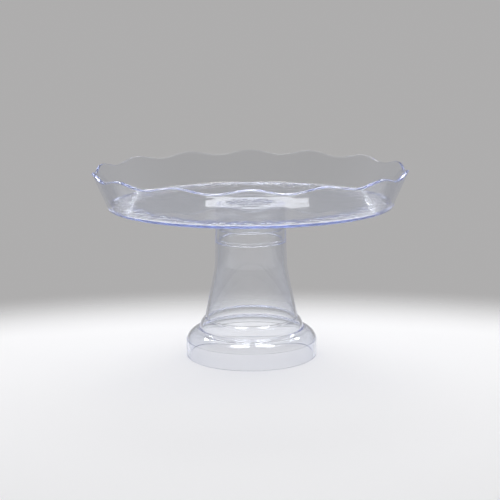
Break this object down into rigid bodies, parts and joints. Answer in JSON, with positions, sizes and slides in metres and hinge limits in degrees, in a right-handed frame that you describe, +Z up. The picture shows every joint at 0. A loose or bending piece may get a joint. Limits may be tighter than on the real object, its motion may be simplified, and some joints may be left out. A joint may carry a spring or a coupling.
{
  "type": "cake stand",
  "caption": "Round pedestal cake stand in clear plastic: a shallow plate with a flared, scalloped rim plugs into a hollow pedestal with a stepped foot.",
  "frame": {"origin": "middle of the foot, on the surface that the stand rests on", "axes": "+Z up along the pedestal's axis, -Y towards the front, where a crest of the rim stands"},
  "size_m": [0.2976, 0.3014, 0.1836],
  "materials": {
    "clear_plastic": "clear, polished, injection moulded"
  },
  "bodies": {
    "pedestal": {"pedestal": "clear_plastic"},
    "plate": {"plate": "clear_plastic"}
  },
  "joints": [
    {"name": "plate_lift", "type": "slide", "parent": "pedestal", "child": "plate", "axis": [0, 0, 1], "range_m": [0, 0.08]}
  ]
}
